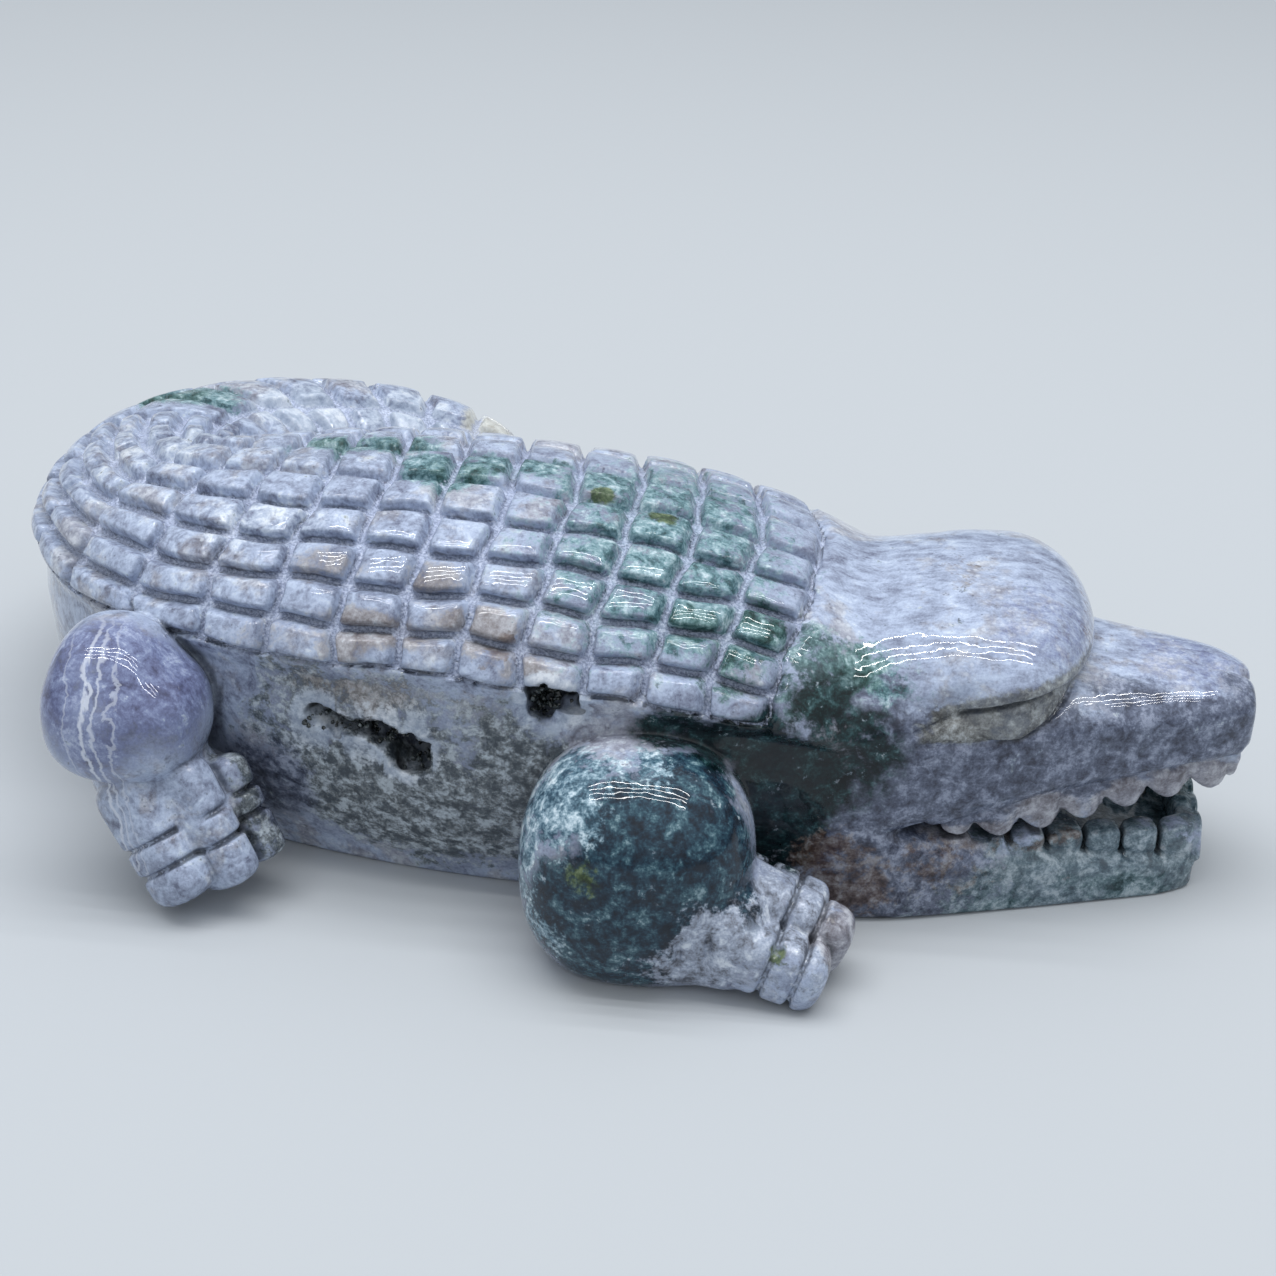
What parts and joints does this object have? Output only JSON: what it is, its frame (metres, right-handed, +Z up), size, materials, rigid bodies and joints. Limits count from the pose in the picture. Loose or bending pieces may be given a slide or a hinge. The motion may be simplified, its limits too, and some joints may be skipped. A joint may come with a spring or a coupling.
{
  "type": "carved stone crocodile",
  "caption": "Crocodile carved from one block of polished ocean jasper, lying flat with its tail curled round to its left and crystal-lined pockets in its right flank.",
  "frame": {"origin": "on the flat belly face, under the middle of the trunk", "axes": "+X towards the snout, +Y towards the crocodile's left side, +Z up"},
  "size_m": [0.2058, 0.1468, 0.0588],
  "materials": {
    "ocean_jasper": "polished mottled lilac, grey, cream and dark green stone",
    "quartz_druse": "dark sparkling crystal lining"
  },
  "bodies": {
    "root": {"crocodile": "ocean_jasper", "flank_crystal_crust": "quartz_druse", "shoulder_crystal_crust": "quartz_druse"}
  },
  "joints": []
}
